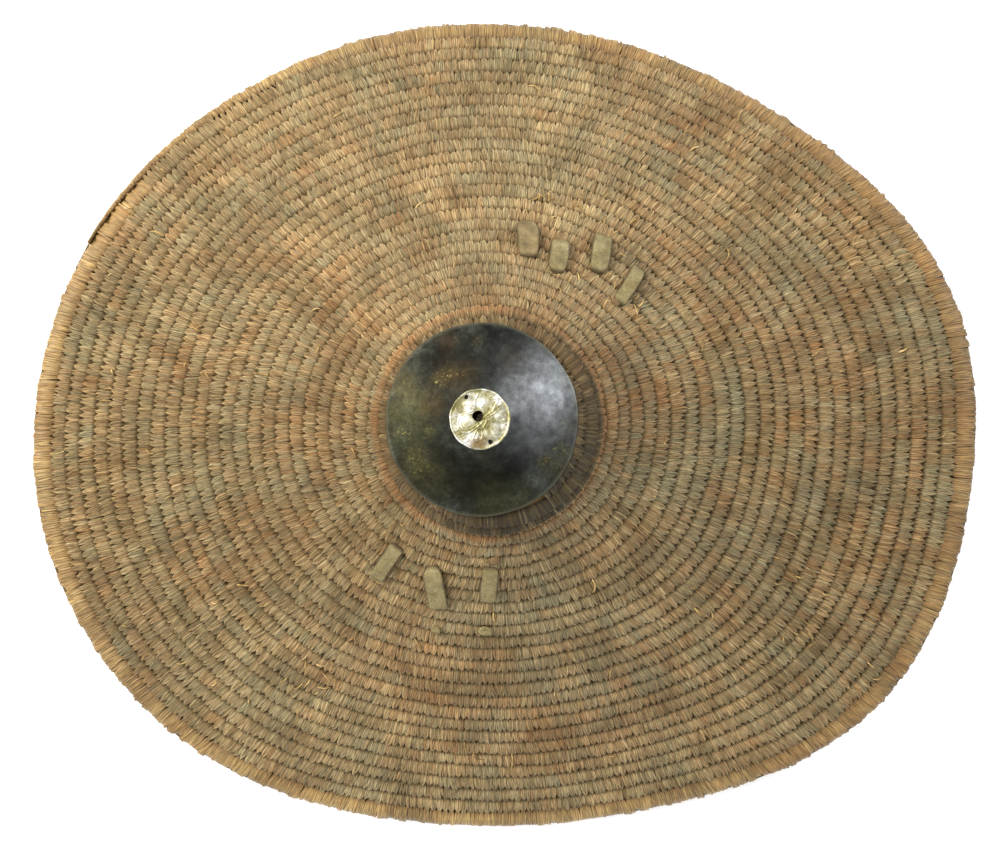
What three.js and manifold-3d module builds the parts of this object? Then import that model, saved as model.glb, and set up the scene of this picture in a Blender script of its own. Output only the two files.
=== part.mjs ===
// A coiled-basketry shield: one long bundle of grass, wound in a spiral and stitched turn to turn, bent
// into a saddle, with a sheet-brass boss over the crown, a pierced silver disc on the boss, and a hide
// hand strap inside that is laced to the basket by seven leather lashings. Millimetres, +Z up. The shield
// lies face up on the two low edges of its rim, with the long way of its outline along X.

import * as THREE from 'three';
import { mergeVertices } from 'three/addons/utils/BufferGeometryUtils.js';
import Module from 'manifold-3d';

// ---- Driving dimensions ----
const GAP = 0.5;                    // air between pieces that touch

// Outline of the rim from the middle of the spiral: a mean radius, then one swell for each order
// (two-fold makes it oval, three-fold egg-shaped, the rest are the wander of hand work).
const RIM_RADIUS = 313.7;
const RIM_SWELLS = [
  { order: 1, height: 11.8, peak: -38 },
  { order: 2, height: 20.7, peak: -5 },
  { order: 3, height: 6.6, peak: -60 },
  { order: 4, height: 2.0, peak: 174 },
  { order: 5, height: 1.7, peak: 122 },
  { order: 6, height: 1.6, peak: 131 },
  { order: 7, height: 1.1, peak: 115 },
  { order: 8, height: 0.8, peak: 97 },
];

// Fall of the wall from the foot of the crown out to the rim. The ends (+Y and -Y) fall most.
const FOOT_RADIUS = 71;             // where the crown meets the wall, under the edge of the boss
const FALL_AT_SIDES = 78;
const FALL_AT_ENDS = 152;
const SPREAD_AT_SIDES = 0.63;       // how much the wall flattens out on its way to the rim
const SPREAD_AT_ENDS = 0.125;
const FOOT_FALL = 12;               // the steep foot of the crown
const FOOT_FALL_LEAN = 8;           // steeper still on the side away from the boss's lean
const FOOT_REACH = 28;

// The crown under the boss
const NECK_RISE = 12;
const NECK_REACH = 8;
const DOME_RISE = 6;
const LEAN = THREE.MathUtils.degToRad(5);           // the crown and boss lean this much
const LEAN_TOWARDS = THREE.MathUtils.degToRad(135);

// The coil
const CROWN_TURNS = 7;
const WALL_TURNS = 25;
const RIM_COIL = 1.35;              // the last turn is a thicker bundle
const COIL_THICKNESS = 9.5;
const RIM_THICKNESS = 11.6;
const GROOVE = 0.35;                // height of a groove as a share of the coil's half thickness
const TAPER_FROM = 0.85;            // the last turn thins away over the end of its way round
const SIDES = 32;                   // facets in one turn
const FACET_OUTSET = 1 / Math.cos(Math.PI / SIDES);                 // so that each facet's middle is true
const COIL_END = THREE.MathUtils.degToRad(90 + 6.5 * 360 / SIDES);  // the last turn ends, on the upper left

// Boss and disc
const BOSS_RADIUS = 64.2;
const BOSS_TOP_RADIUS = 17;
const BOSS_RISE = 27;
const BOSS_BORE = 7;
const BOSS_SHEET = 1.6;
const BOSS_FLARE = 1.2;
const BOSS_SIDES = 36;
const BOSS_AT = new THREE.Vector2(-5.4, 2.3);
const LIP_ABOVE_FOOT = 16;
const DISC_AT = new THREE.Vector2(0.8, -1.7);     // from the middle of the boss
const DISC_RADIUS = 20;
const DISC_THICKNESS = 2;
const DISC_HOLES = [
  { x: -1.3, y: 2.0, radius: 3.7 },
  { x: -8.9, y: 14.4, radius: 1.5 },
  { x: 6.9, y: -15.1, radius: 1.5 },
];

// Lashings: place of each one in plan, its width and length, and how far it leans from the Y axis
const THONG = 2.2;
const LASHINGS = [
  { x: 25.2, y: 123.4, width: 16.2, length: 34, lean: 3 },
  { x: 45.7, y: 111.6, width: 14.4, length: 30.5, lean: 12 },
  { x: 74.4, y: 114.2, width: 14.6, length: 33.5, lean: 15 },
  { x: 93.9, y: 91.8, width: 10.8, length: 36, lean: 33 },
  { x: -69.3, y: -92.3, width: 11.6, length: 36, lean: 33 },
  { x: -36.3, y: -108.8, width: 14.6, length: 40, lean: 0 },
  { x: -0.8, y: -106.3, width: 12.6, length: 34, lean: 3 },
];
const THONG_ENDS = [
  { x: -36.7, y: -139.8, width: 7, length: 6.5 },
  { x: -3.0, y: -139.8, width: 10.4, length: 7 },
];
const THONG_END_THICKNESS = 4.4;

// Hand strap
const STRAP_FROM = new THREE.Vector2(-34.8, -105.2);
const STRAP_TO = new THREE.Vector2(60.2, 112.5);
const STRAP_THICKNESS = 4;
const STRAP_HALF_WIDTH = 15;
const STRAP_END_HALF_WIDTH = 47;
const STRAP_END_LENGTH = 32;        // past the middle of the lashings
const STRAP_HOLD = 45;              // half length of the narrow hold
const STRAP_LEAVES = 86;            // distance from its middle at which it leaves the wall
const STRAP_SAG = 5;
const STRAP_CLEARANCE = 1.3;        // to the inside of the wall

// ---- Shape of the wall ----
const mix = THREE.MathUtils.lerp;
const TURN = 2 * Math.PI;

function rimRadius(angle) {
  const swell = (s) => s.height * Math.cos(s.order * angle - THREE.MathUtils.degToRad(s.peak));
  return RIM_SWELLS.reduce((sum, s) => sum + swell(s), RIM_RADIUS);
}

// 0 at the sides, 1 at the ends, and level near the ends so that the rim lies steady there
const towardsEnds = (angle) => 1 - Math.abs(Math.cos(angle)) ** 3;

// Height of the middle of the coil below the foot of the crown (negative) or above it
function middleHeight(radius, angle) {
  if (radius < FOOT_RADIUS) {
    const inside = FOOT_RADIUS - radius;
    const neck = NECK_RISE * (1 - Math.exp(-inside / NECK_REACH));
    const dome = DOME_RISE * (1 - (radius / FOOT_RADIUS) ** 2);
    const leaning = Math.min(1, inside / NECK_REACH);
    return neck + dome - leaning * Math.tan(LEAN) * radius * Math.cos(angle - LEAN_TOWARDS);
  }
  const ends = towardsEnds(angle);
  const spread = mix(SPREAD_AT_SIDES, SPREAD_AT_ENDS, ends);
  const share = (radius - FOOT_RADIUS) / (rimRadius(angle) - FOOT_RADIUS);
  const fall = mix(FALL_AT_SIDES, FALL_AT_ENDS, ends) * ((1 + spread) * share - spread * share * share);
  const footLean = (1 - ends) * FOOT_FALL_LEAN * Math.cos(angle + LEAN_TOWARDS - Math.PI / 2);
  return -fall - (FOOT_FALL + footLean) * (1 - Math.exp(-(radius - FOOT_RADIUS) / FOOT_REACH));
}

// One meridian: points from the middle out to the rim with the distance along them
const MERIDIAN_STEPS = 160;
function meridian(angle) {
  const points = [{ radius: 0, height: middleHeight(0, angle), along: 0 }];
  for (let i = 1; i <= MERIDIAN_STEPS; i++) {
    const radius = rimRadius(angle) * i / MERIDIAN_STEPS;
    const height = middleHeight(radius, angle);
    const last = points[i - 1];
    const along = last.along + Math.hypot(radius - last.radius, height - last.height);
    points.push({ radius, height, along });
  }
  return points;
}

// A place on a meridian, by turns counted outwards from the foot of the crown, lifted off the middle
const meridians = Array.from({ length: SIDES }, (_, i) => meridian(COIL_END + i * TURN / SIDES));
function turnsAtRim(share) {
  const taper = THREE.MathUtils.clamp((1 - share) / (1 - TAPER_FROM), 0, 1);
  return WALL_TURNS - 1 + share + taper;
}
function place(step, turns, lift) {
  const side = ((step % SIDES) + SIDES) % SIDES;
  const line = meridians[side];
  const foot = line.find((p) => p.radius >= FOOT_RADIUS).along;
  const atRim = turnsAtRim(side / SIDES);
  const pitch = (line[MERIDIAN_STEPS].along - foot) / (atRim + RIM_COIL - 1);
  const onRimCoil = THREE.MathUtils.clamp(turns - (atRim - 1), 0, 1);
  const along = turns < 0
    ? foot * (1 + turns / CROWN_TURNS)
    : foot + pitch * (turns + (RIM_COIL - 1) * onRimCoil);
  const i = Math.max(1, line.findIndex((p) => p.along >= along - 1e-9));
  const [a, b] = [line[i - 1], line[i === 0 ? 1 : i]];
  const t = (along - a.along) / (b.along - a.along);
  const slope = Math.atan2(b.height - a.height, b.radius - a.radius);
  const half = lift * mix(COIL_THICKNESS, RIM_THICKNESS, onRimCoil) / 2;
  const radius = FACET_OUTSET * (mix(a.radius, b.radius, t) - half * Math.sin(slope));
  const height = mix(a.height, b.height, t) + half * Math.cos(slope);
  const angle = COIL_END + side * TURN / SIDES;
  return new THREE.Vector3(radius * Math.cos(angle), radius * Math.sin(angle), height);
}

// Outward normal and height of the wall's middle at a place in plan
const heightAt = (x, y) => middleHeight(Math.hypot(x, y), Math.atan2(y, x));
function normalAt(x, y) {
  const d = 1;
  const dx = (heightAt(x + d, y) - heightAt(x - d, y)) / (2 * d);
  const dy = (heightAt(x, y + d) - heightAt(x, y - d)) / (2 * d);
  return new THREE.Vector3(-dx, -dy, 1).normalize();
}

// ---- Closed meshes ----
const wasm = await Module();
wasm.setup();

function solid(geometry) {
  const bare = geometry.clone();
  bare.deleteAttribute('normal');
  bare.deleteAttribute('uv');
  const merged = mergeVertices(bare, 1e-4);
  return new wasm.Manifold(new wasm.Mesh({
    numProp: 3,
    vertProperties: new Float32Array(merged.attributes.position.array),
    triVerts: new Uint32Array(merged.index.array),
  }));
}

function geometryOf(manifold) {
  const mesh = manifold.getMesh();
  const geometry = new THREE.BufferGeometry();
  geometry.setAttribute('position', new THREE.BufferAttribute(new Float32Array(mesh.vertProperties), 3));
  geometry.setIndex(new THREE.BufferAttribute(new Uint32Array(mesh.triVerts), 1));
  return geometry;
}

function geometryFrom(points, triangles) {
  const geometry = new THREE.BufferGeometry();
  geometry.setAttribute('position', new THREE.Float32BufferAttribute(points.flatMap((p) => p.toArray()), 3));
  geometry.setIndex(triangles);
  return geometry;
}

// A closed body through rings of points that all have the same count. A loop joins its last ring to its
// first; otherwise a fan closes each end.
function loft(rings, loop = false) {
  const count = rings[0].length;
  const triangles = [];
  const spans = loop ? rings.length : rings.length - 1;
  for (let r = 0; r < spans; r++) {
    const [near, far] = [r * count, ((r + 1) % rings.length) * count];
    for (let i = 0; i < count; i++) {
      const j = (i + 1) % count;
      triangles.push(near + i, near + j, far + j, near + i, far + j, far + i);
    }
  }
  if (!loop) {
    const last = (rings.length - 1) * count;
    for (let i = 1; i < count - 1; i++) {
      triangles.push(0, i + 1, i, last, last + i, last + i + 1);
    }
  }
  return geometryFrom(rings.flat(), triangles);
}

// ---- Basket ----
// The outside follows the coil: a groove line and a crest line wind out together. The inside is one line.
function basketGeometry() {
  const points = [];
  const triangles = [];
  const found = new Map();
  const last = (CROWN_TURNS + WALL_TURNS) * SIDES;
  const turnsAt = (k) => k / SIDES - CROWN_TURNS;
  const keep = (key, make) => {
    if (!found.has(key)) {
      found.set(key, points.length);
      points.push(make());
    }
    return found.get(key);
  };
  const groove = (k) => {
    const at = k === last + SIDES ? last : k;
    const onRim = at >= last;
    const turns = onRim ? turnsAtRim((at - last) / SIDES) : turnsAt(at);
    return keep(`groove ${at}`, () => place(at, turns, onRim ? 0 : GROOVE));
  };
  const middleOfCoil = (k) => {
    const outer = k + SIDES >= last ? turnsAtRim((k + SIDES - last) / SIDES) : turnsAt(k + SIDES);
    return (turnsAt(k) + outer) / 2;
  };
  const crest = (k) => (k === last ? groove(last) : keep(`crest ${k}`, () => place(k, middleOfCoil(k), 1)));
  const inside = (k) => (
    k === last ? groove(last) : keep(`inside ${k}`, () => place(k, middleOfCoil(k), -1))
  );
  const triangle = (a, b, c) => {
    if (a !== b && b !== c && c !== a) {
      triangles.push(a, b, c);
    }
  };
  const quad = (a, b, c, d) => {
    triangle(a, b, c);
    triangle(a, c, d);
  };
  for (let k = 0; k < last; k++) {
    quad(groove(k), crest(k), crest(k + 1), groove(k + 1));
    quad(crest(k), groove(k + SIDES), groove(k + SIDES + 1), crest(k + 1));
    if (k < last - SIDES) {
      quad(inside(k), inside(k + 1), inside(k + SIDES + 1), inside(k + SIDES));
    } else {
      quad(inside(k), inside(k + 1), groove(k + SIDES + 1), groove(k + SIDES));
    }
  }
  const top = groove(0);
  triangle(top, groove(SIDES), crest(0));
  const under = keep('under', () => place(0, -CROWN_TURNS, -1));
  for (let k = 0; k < SIDES; k++) {
    if (k > 0) {
      triangle(top, groove(k), groove(k + 1));
    }
    triangle(under, inside(k + 1), inside(k));
  }
  triangle(under, inside(0), inside(SIDES));
  return geometryFrom(points, triangles);
}

// ---- Lashings ----
// A frame on the wall: X across the lashing, Y along it, Z outwards
function frameAt({ x, y, lean = 0 }) {
  const out = normalAt(x, y);
  const tilt = THREE.MathUtils.degToRad(lean);
  const along = new THREE.Vector3(Math.sin(tilt), Math.cos(tilt), 0);
  along.addScaledVector(out, -along.dot(out)).normalize();
  const across = new THREE.Vector3().crossVectors(along, out);
  const frame = new THREE.Matrix4().makeBasis(across, along, out);
  return frame.setPosition(x, y, heightAt(x, y));
}

// A loop of thong: a broad tab over the coils, two narrow legs through the wall and a narrower back that
// holds the strap. It is a ring of four-cornered sections.
const LEG_SHARE = 0.62;             // a leg is this much of the tab's width
function lashingGeometry({ width, length }) {
  const front = COIL_THICKNESS / 2 + GAP + THONG / 2;
  const back = -(COIL_THICKNESS / 2 + STRAP_CLEARANCE + STRAP_THICKNESS + 2 * GAP + THONG / 2);
  const reach = length / 2 - THONG / 2;
  const leg = LEG_SHARE * width;
  const stations = [
    { y: -reach, z: front - 1.6, width: leg, turn: 60 },
    { y: -reach + 1.6, z: front, width: 0.8 * width, turn: 10 },
    { y: -0.45 * reach, z: front + 0.5, width, turn: 0 },
    { y: 0.45 * reach, z: front + 0.5, width, turn: 0 },
    { y: reach - 1.6, z: front, width: 0.8 * width, turn: -10 },
    { y: reach, z: front - 1.6, width: leg, turn: -60 },
    { y: reach, z: back + 1.6, width: leg, turn: -120 },
    { y: reach - 1.6, z: back, width: leg, turn: -180 },
    { y: -reach + 1.6, z: back, width: leg, turn: -180 },
    { y: -reach, z: back + 1.6, width: leg, turn: -240 },
  ];
  const rings = stations.map((s) => {
    const turn = THREE.MathUtils.degToRad(s.turn);
    const [outY, outZ] = [-Math.sin(turn) * THONG / 2, Math.cos(turn) * THONG / 2];
    const corner = (side, out) => new THREE.Vector3(side * s.width / 2, s.y + out * outY, s.z + out * outZ);
    return [corner(-1, -1), corner(-1, 1), corner(1, 1), corner(1, -1)];
  });
  return loft(rings, true);
}

// The slits that a lashing's legs pass through
const SLIT_DEPTH = 44;
function slits(lashing) {
  const { width, length } = lashing;
  return [-1, 1].map((end) => {
    const box = new THREE.BoxGeometry(LEG_SHARE * width + 2 * GAP, THONG + 2 * GAP, SLIT_DEPTH);
    box.translate(0, end * (length / 2 - THONG / 2), 0);
    box.applyMatrix4(frameAt(lashing));
    return solid(box);
  });
}

// ---- Hand strap ----
// Rings of six-cornered sections along the strap. Its ends follow the inside of the wall and its middle
// runs straight across the hollow, a little lower along the flat hold.
function strapGeometry() {
  const length = STRAP_FROM.distanceTo(STRAP_TO);
  const middle = STRAP_FROM.clone().add(STRAP_TO).multiplyScalar(0.5);
  const along = STRAP_TO.clone().sub(STRAP_FROM).normalize();
  const across = new THREE.Vector2(along.y, -along.x);
  const end = length / 2 + STRAP_END_LENGTH;
  const wallAt = (p) => {
    const slope = Math.acos(normalAt(p.x, p.y).z);
    return heightAt(p.x, p.y) - (COIL_THICKNESS / 2 + STRAP_CLEARANCE) / Math.cos(slope);
  };
  const spot = (s, b) => middle.clone().addScaledVector(along, s).addScaledVector(across, b);
  const leaves = (wallAt(spot(STRAP_LEAVES, 0)) + wallAt(spot(-STRAP_LEAVES, 0))) / 2;
  const halfWidth = (s) => {
    const flare = THREE.MathUtils.smoothstep(Math.abs(s), STRAP_HOLD, STRAP_LEAVES);
    const rounding = 1 - 0.25 * THREE.MathUtils.smoothstep(Math.abs(s), end - 12, end);
    return mix(STRAP_HALF_WIDTH, STRAP_END_HALF_WIDTH, flare) * rounding;
  };
  const stations = [-1, -0.92, -0.8, -0.67, -0.57, -0.455, -0.295, 0.295, 0.455, 0.57, 0.67, 0.8, 0.92, 1];
  const shares = [-1, -0.55, 0, 0.55, 1];
  const rings = stations.map((share) => {
    const s = share * end;
    const sag = STRAP_SAG * (1 - THREE.MathUtils.smoothstep(Math.abs(s), STRAP_HOLD, STRAP_LEAVES));
    const top = shares.map((b) => {
      const p = spot(s, b * halfWidth(s));
      return new THREE.Vector3(p.x, p.y, Math.min(wallAt(p), leaves - sag));
    });
    const bottom = top.map((p) => {
      const onWall = p.z < leaves - sag - 1e-6;
      const thickness = STRAP_THICKNESS / (onWall ? normalAt(p.x, p.y).z : 1);
      return new THREE.Vector3(p.x, p.y, p.z - thickness);
    });
    return [...top, ...bottom.reverse()];
  });
  return loft(rings);
}

// ---- Boss and disc ----
const bossHeight = (radius) => {
  const share = THREE.MathUtils.clamp((radius - BOSS_TOP_RADIUS) / (BOSS_RADIUS - BOSS_TOP_RADIUS), 0, 1);
  return BOSS_RISE * (1 - share) ** BOSS_FLARE;
};

function bossGeometry() {
  const outside = [BOSS_BORE, BOSS_TOP_RADIUS, 28, 40, 51, 60, BOSS_RADIUS];
  const profile = outside.map((r) => new THREE.Vector2(r, bossHeight(r) + BOSS_SHEET));
  for (const r of [...outside].reverse()) {
    profile.push(new THREE.Vector2(r, bossHeight(r)));
  }
  profile.push(profile[0].clone());
  return new THREE.LatheGeometry(profile.reverse(), BOSS_SIDES).rotateX(Math.PI / 2);
}

function discGeometry() {
  const outline = new THREE.Shape().absarc(0, 0, DISC_RADIUS, 0, TURN);
  for (const hole of DISC_HOLES) {
    outline.holes.push(new THREE.Path().absarc(hole.x, hole.y, hole.radius, 0, TURN, true));
  }
  const cut = { depth: DISC_THICKNESS, bevelEnabled: false, curveSegments: 14 };
  return new THREE.ExtrudeGeometry(outline, cut);
}

// ---- Materials ----
const coiledGrass = new THREE.MeshStandardMaterial({ color: 0x9c8050, roughness: 0.85, metalness: 0 });
const darkBrass = new THREE.MeshStandardMaterial({ color: 0x41443a, roughness: 0.45, metalness: 0.9 });
const oldSilver = new THREE.MeshStandardMaterial({ color: 0xb9b592, roughness: 0.4, metalness: 0.9 });
const rawhide = new THREE.MeshStandardMaterial({ color: 0x8f8460, roughness: 0.7, metalness: 0 });

// ---- Assembly ----
const shield = new THREE.Group();
const add = (name, geometry, material, parent = shield) => {
  const mesh = new THREE.Mesh(geometry, material);
  mesh.name = name;
  parent.add(mesh);
  return mesh;
};

const cuts = LASHINGS.flatMap(slits);
const pierced = (geometry) => geometryOf(cuts.reduce((body, cut) => body.subtract(cut), solid(geometry)));
add('coiled_basket', pierced(basketGeometry()), coiledGrass);
add('hand_strap', pierced(strapGeometry()), rawhide);

LASHINGS.forEach((lashing, i) => {
  const mesh = add(`lashing_${i + 1}`, lashingGeometry(lashing), rawhide);
  mesh.applyMatrix4(frameAt(lashing));
});

THONG_ENDS.forEach((end, i) => {
  const knob = new THREE.IcosahedronGeometry(0.5, 1).scale(end.width, end.length, THONG_END_THICKNESS);
  knob.deleteAttribute('uv');
  knob.deleteAttribute('normal');
  const mesh = add(`thong_end_${i + 1}`, mergeVertices(knob), rawhide);
  mesh.applyMatrix4(frameAt(end));
  mesh.translateZ(COIL_THICKNESS / 2 + GAP + THONG_END_THICKNESS / 2);
});

const crown = new THREE.Group();
crown.position.set(BOSS_AT.x, BOSS_AT.y, LIP_ABOVE_FOOT);
crown.quaternion.setFromAxisAngle(
  new THREE.Vector3(-Math.sin(LEAN_TOWARDS), Math.cos(LEAN_TOWARDS), 0), LEAN);
shield.add(crown);
add('boss', bossGeometry(), darkBrass, crown);
add('apex_disc', discGeometry(), oldSilver, crown)
  .position.set(DISC_AT.x, DISC_AT.y, BOSS_RISE + BOSS_SHEET + GAP);

// The origin is under the middle of the shield, on the surface that it lies on.
shield.updateMatrixWorld(true);
const extent = new THREE.Box3().setFromObject(shield, true);
const centre = extent.getCenter(new THREE.Vector3());
shield.position.set(-centre.x, -centre.y, -extent.min.z);

export default shield;
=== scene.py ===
# A coiled-basketry shield lying face up: one bundle of grass wound in a spiral and stitched turn to turn
# with split palm leaf, a sheet-brass boss over the crown, a pierced silver disc on it, and a hide hand
# strap inside, tied through the wall by seven lashings. Lengths are millimetres until a mesh is made.

import math

import bmesh
import bpy
import numpy as np
from mathutils import Matrix, Vector, noise


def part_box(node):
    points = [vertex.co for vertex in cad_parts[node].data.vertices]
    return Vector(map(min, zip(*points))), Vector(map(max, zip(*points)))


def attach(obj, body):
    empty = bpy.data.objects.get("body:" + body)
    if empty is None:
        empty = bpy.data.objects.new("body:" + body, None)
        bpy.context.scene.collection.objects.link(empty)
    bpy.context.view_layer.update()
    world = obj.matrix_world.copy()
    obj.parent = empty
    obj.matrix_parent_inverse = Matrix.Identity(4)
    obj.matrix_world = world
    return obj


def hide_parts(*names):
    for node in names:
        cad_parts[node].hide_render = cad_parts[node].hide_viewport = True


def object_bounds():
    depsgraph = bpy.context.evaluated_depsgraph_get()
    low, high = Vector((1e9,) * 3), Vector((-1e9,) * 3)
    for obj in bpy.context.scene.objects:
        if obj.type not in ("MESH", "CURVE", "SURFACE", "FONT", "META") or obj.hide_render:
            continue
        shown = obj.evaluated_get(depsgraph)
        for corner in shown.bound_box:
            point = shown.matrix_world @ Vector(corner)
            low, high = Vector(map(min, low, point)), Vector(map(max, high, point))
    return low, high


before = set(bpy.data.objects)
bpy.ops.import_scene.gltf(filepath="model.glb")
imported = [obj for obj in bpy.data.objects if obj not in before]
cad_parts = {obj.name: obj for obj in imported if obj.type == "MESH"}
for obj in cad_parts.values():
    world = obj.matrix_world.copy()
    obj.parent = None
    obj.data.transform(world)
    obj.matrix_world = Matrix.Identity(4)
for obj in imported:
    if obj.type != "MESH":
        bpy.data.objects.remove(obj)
cad_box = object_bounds()

# ---------------------------------------------------------------------------------------------------------
# The bundle: dry grass about 10 mm thick, wound in one length from the crown outwards, widened into an
# egg-shaped oval and bent down along two opposite edges while it was damp. The stitches hide nearly all of
# it. In the gaps between them it shows dusty, and coloured darker as painted shade. All the rest is set out
# from its spiral.

MM = 0.001
TURN = 2 * math.pi
RIM_RADIUS = 313.7
RIM_SWELLS = [  # order, height, peak in degrees
    (1, 11.8, -38), (2, 20.7, -5), (3, 6.6, -60), (4, 2.0, 174),
    (5, 1.7, 122), (6, 1.6, 131), (7, 1.1, 115), (8, 0.8, 97),
]
FOOT_RADIUS = 71
# How far the wall falls from the foot of the crown to the rim, and how much of the fall comes early
FALL_AT_SIDES, FALL_AT_ENDS = 78, 152
SPREAD_AT_SIDES, SPREAD_AT_ENDS = 0.63, 0.125
FOOT_FALL, FOOT_FALL_LEAN, FOOT_REACH = 12, 8, 28
NECK_RISE, NECK_REACH, DOME_RISE = 12, 8, 6
LEAN, LEAN_TOWARDS = math.radians(5), math.radians(135)
CROWN_TURNS, WALL_TURNS = 7, 25
LAST_TURN = CROWN_TURNS + WALL_TURNS
RIM_COIL = 1.35
COIL_THICKNESS, RIM_THICKNESS = 9.5, 11.6
TAPER_FROM = 0.85
CAD_SIDES = 32
COIL_END = math.radians(90 + 6.5 * 360 / CAD_SIDES)

# The boss's box gives the middle of the spiral and the height of the crown's foot.
BOSS_RADIUS, LIP_ABOVE_FOOT = 64.2, 16
BOSS_AT = Vector((-5.4, 2.3))
boss_low, boss_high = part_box("boss")
boss_drop = BOSS_RADIUS * math.sin(LEAN) * math.cos(math.pi / 36)
MIDDLE_X = (boss_low.x + boss_high.x) / 2 / MM - BOSS_AT.x
MIDDLE_Y = (boss_low.y + boss_high.y) / 2 / MM - BOSS_AT.y
FOOT_Z = boss_low.z / MM - LIP_ABOVE_FOOT + boss_drop


def rim_radius(angle):
    return RIM_RADIUS + sum(h * np.cos(k * angle - math.radians(p)) for k, h, p in RIM_SWELLS)


def middle_height(radius, angle):
    """Height of the middle of the wall over the foot of the crown."""
    inside = np.maximum(FOOT_RADIUS - radius, 0)
    neck = NECK_RISE * (1 - np.exp(-inside / NECK_REACH)) + DOME_RISE * (1 - (radius / FOOT_RADIUS) ** 2)
    leaning = np.minimum(1, inside / NECK_REACH) * math.tan(LEAN) * radius * np.cos(angle - LEAN_TOWARDS)
    ends = 1 - np.abs(np.cos(angle)) ** 3
    spread = SPREAD_AT_SIDES + (SPREAD_AT_ENDS - SPREAD_AT_SIDES) * ends
    share = (radius - FOOT_RADIUS) / (rim_radius(angle) - FOOT_RADIUS)
    whole_fall = FALL_AT_SIDES + (FALL_AT_ENDS - FALL_AT_SIDES) * ends
    fall = whole_fall * ((1 + spread) * share - spread * share**2)
    foot = FOOT_FALL + (1 - ends) * FOOT_FALL_LEAN * np.cos(angle + LEAN_TOWARDS - math.pi / 2)
    outside = -fall - foot * (1 - np.exp(-np.maximum(radius - FOOT_RADIUS, 0) / FOOT_REACH))
    return np.where(radius < FOOT_RADIUS, neck - leaning, outside)


def turns_at_rim(share):
    return WALL_TURNS - 1 + share + np.clip((1 - share) / (1 - TAPER_FROM), 0, 1)


# Radius and height of the wall, for each direction and each number of turns out from the foot of the crown
DIRECTIONS, TURN_STEP = 720, 0.05
turn_marks = np.arange(-CROWN_TURNS, WALL_TURNS + 1.0 + TURN_STEP, TURN_STEP)
radius_table = np.empty((DIRECTIONS, len(turn_marks)))
height_table = np.empty_like(radius_table)
rim_coil_table = np.empty_like(radius_table)
for i in range(DIRECTIONS):
    share = i / DIRECTIONS
    angle = COIL_END + share * TURN
    radii = np.linspace(0, rim_radius(angle), 400)
    heights = middle_height(radii, angle)
    along = np.concatenate([[0], np.cumsum(np.hypot(np.diff(radii), np.diff(heights)))])
    foot_along = np.interp(FOOT_RADIUS, radii, along)
    at_rim = turns_at_rim(share)
    pitch = (along[-1] - foot_along) / (at_rim + RIM_COIL - 1)
    on_rim = np.clip(turn_marks - (at_rim - 1), 0, 1)
    crown_along = foot_along * (1 + turn_marks / CROWN_TURNS)
    wall_along = foot_along + pitch * (turn_marks + (RIM_COIL - 1) * on_rim)
    marks = np.where(turn_marks < 0, crown_along, wall_along)
    radius_table[i] = np.interp(marks, along, radii)
    height_table[i] = np.interp(marks, along, heights)
    rim_coil_table[i] = on_rim


def in_table(table, share, turns):
    """Reads a table between its entries, at a share of the way round and a number of turns out."""
    a = (share % 1) * DIRECTIONS
    b = np.clip((turns + CROWN_TURNS) / TURN_STEP, 0, len(turn_marks) - 1.001)
    i = a.astype(int) % DIRECTIONS
    j = b.astype(int)
    k = (i + 1) % DIRECTIONS
    u = a - np.floor(a)
    v = b - j
    near = table[i, j] * (1 - v) + table[i, j + 1] * v
    far = table[k, j] * (1 - v) + table[k, j + 1] * v
    return near * (1 - u) + far * u


def coil_width(turn):
    """Width of the coil in turns: one, until the last turn thins away."""
    share = turn % 1
    return np.where(turn >= LAST_TURN - 1, turns_at_rim(share) - (WALL_TURNS - 1 + share), 1.0)


def on_coil(turn, across, lift, proud=0.0):
    """Places on the coil: turns wound from the middle, across from the inner groove (0) to the outer (1),
    and lift off the middle in half thicknesses, with proud more millimetres."""
    out = turn - CROWN_TURNS + across * coil_width(turn)
    # The coil wanders a little from its even spiral, but not at the crown or the rim.
    wander = 0.07 * np.sin(5 * TURN * turn + 1.7 * np.floor(out)) * np.sin(2.3 * out + 3 * TURN * turn)
    at = out + wander * np.clip(WALL_TURNS - 1 - out, 0, 1) * np.clip(out + 1, 0, 1)
    share = turn % 1
    half = (COIL_THICKNESS + (RIM_THICKNESS - COIL_THICKNESS) * in_table(rim_coil_table, share, at)) / 2
    d = 0.1
    rise = in_table(height_table, share, at + d) - in_table(height_table, share, at - d)
    run = in_table(radius_table, share, at + d) - in_table(radius_table, share, at - d)
    slope = np.arctan2(rise, np.maximum(run, 1e-6))
    off = lift * half + proud
    radius = in_table(radius_table, share, at) - off * np.sin(slope)
    height = in_table(height_table, share, at) + off * np.cos(slope)
    angle = COIL_END + share * TURN
    return np.stack([
        MIDDLE_X + radius * np.cos(angle), MIDDLE_Y + radius * np.sin(angle), FOOT_Z + height,
    ], axis=-1) * MM


# What would lie from 3.2 mm under the floor to 3 mm over it is squeezed into the lowest 3 mm.
SQUEEZED_FROM, SQUEEZED_TO = -3.2, 3.0
LOWEST, SQUEEZED_HEIGHT = 0.15, 2.8


def press_flat(places):
    """Presses the rim flat where the shield lies on it, and keeps all of it inside the shield's set size."""
    height = places[..., 2] / MM
    share = np.clip((height - SQUEEZED_FROM) / (SQUEEZED_TO - SQUEEZED_FROM), 0, 1)
    low = share ** 1.4 * SQUEEZED_HEIGHT + LOWEST
    places[..., 2] = np.where(places[..., 2] < SQUEEZED_TO * MM, low * MM, places[..., 2])
    return places.clip(np.array(cad_box[0]) + 0.1 * MM, np.array(cad_box[1]) - 0.1 * MM)


def radius_of(turn):
    return in_table(radius_table, turn % 1, turn - CROWN_TURNS + 0.5 * coil_width(turn))


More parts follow.
